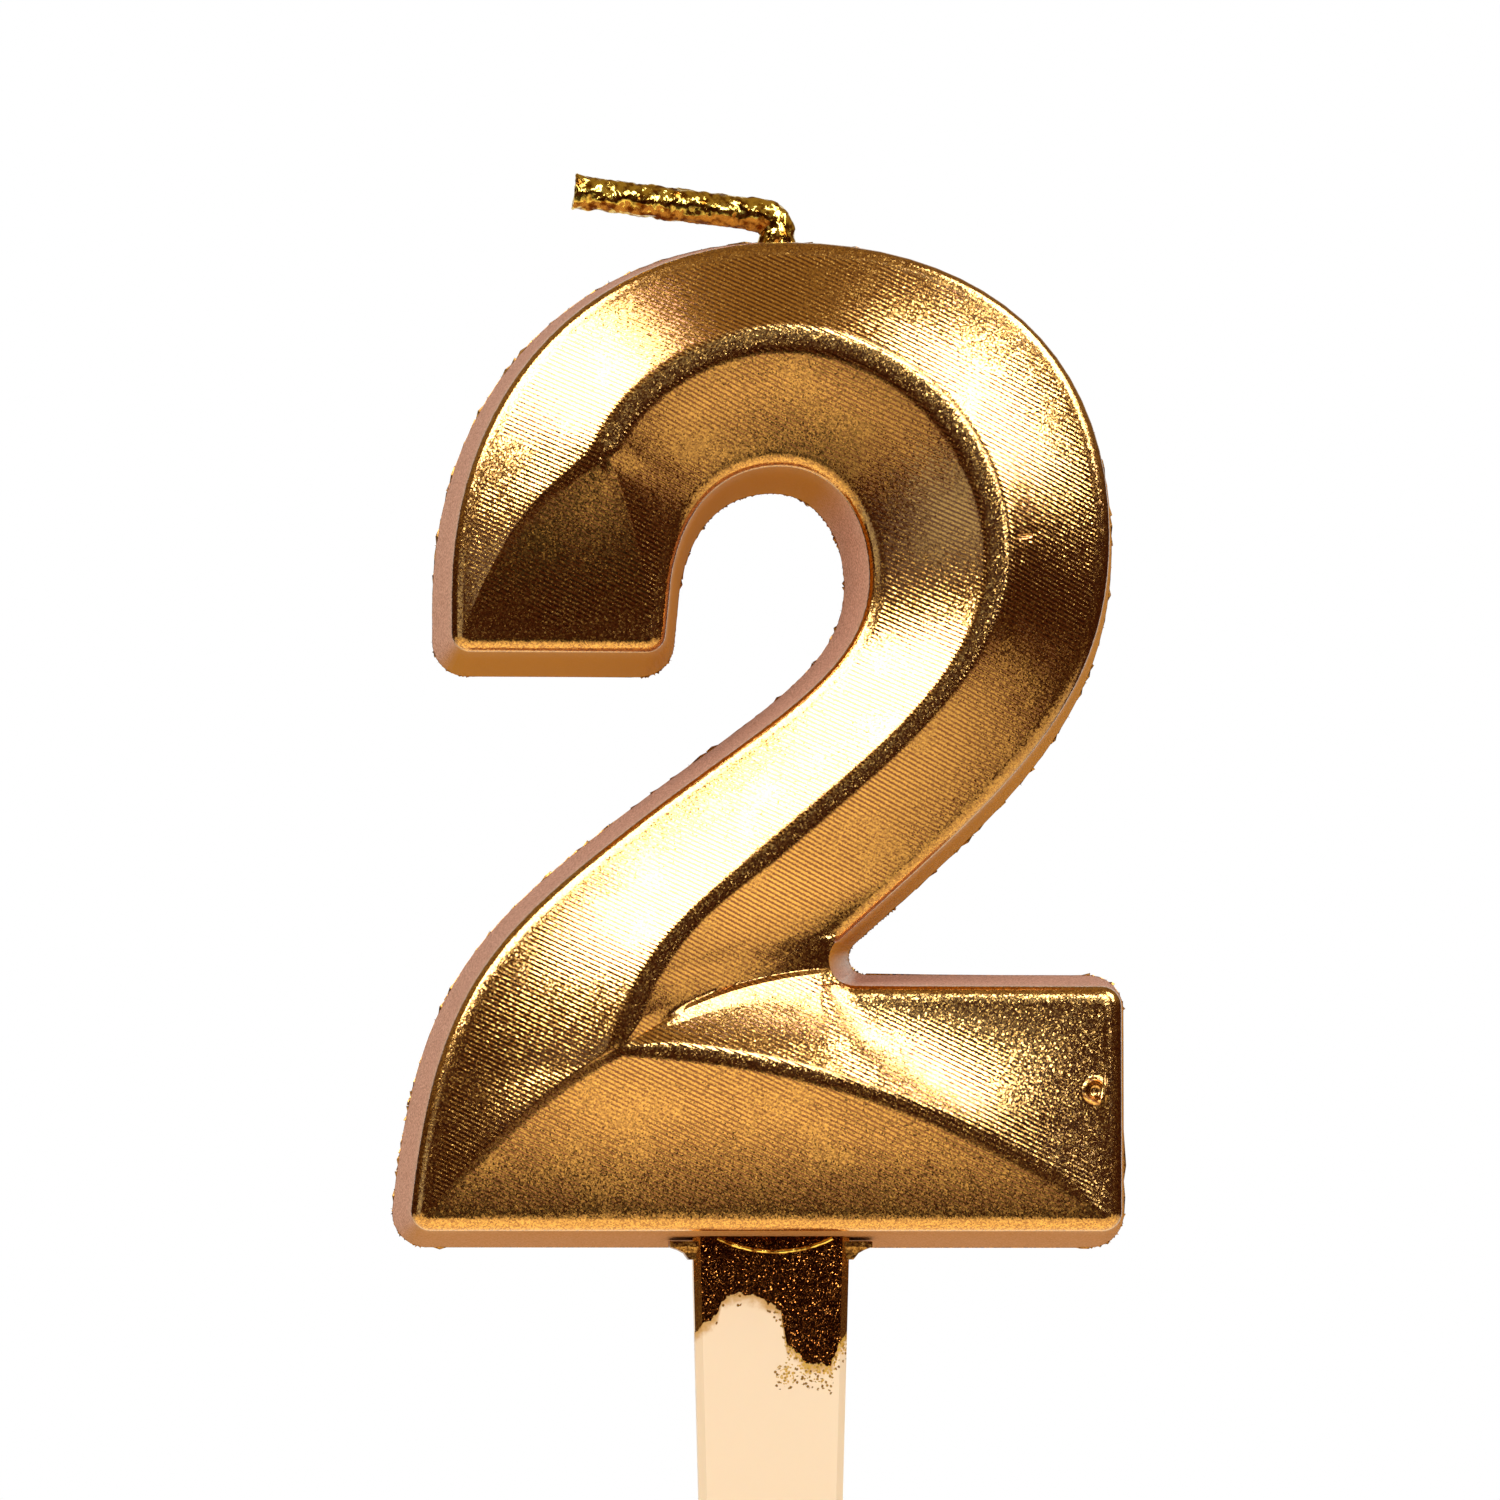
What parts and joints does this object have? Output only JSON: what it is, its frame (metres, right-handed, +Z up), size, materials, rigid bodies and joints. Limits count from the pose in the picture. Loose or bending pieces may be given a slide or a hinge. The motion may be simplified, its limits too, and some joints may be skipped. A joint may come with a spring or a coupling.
{
  "type": "number candle",
  "caption": "Gold birthday candle shaped as a ridged numeral two, with a kinked wick on its crown and a flat pointed stick that holds it upright in a cake.",
  "frame": {"origin": "middle of the stick at the level of the numeral's underside, which is where the cake's surface comes to", "axes": "+Z up from the stick to the numeral's crown, -Y out of the numeral's sculpted front, +X to the right as the numeral is read"},
  "size_m": [0.0412, 0.0104, 0.1023],
  "materials": {
    "gilt_wax": "paraffin wax sprayed with a sparkling metallic gold lacquer",
    "stick_plastic": "slightly cloudy cream plastic with flaked gold lacquer near the wax",
    "gilt_wick": "waxed cotton wick covered by a crumpled gold lacquer film"
  },
  "bodies": {
    "candle": {"numeral_body": "gilt_wax", "stick": "stick_plastic", "wick_root": "gilt_wick", "wick_elbow": "gilt_wick"},
    "wick_end": {"wick_tip": "gilt_wick"}
  },
  "joints": [
    {"name": "wick_bend", "type": "hinge", "parent": "candle", "child": "wick_end", "pos_m": [0.0004, 0, 0.05783], "axis": [0, 1, 0], "range_deg": [0, 83], "deforming": ["wick_elbow"]}
  ]
}
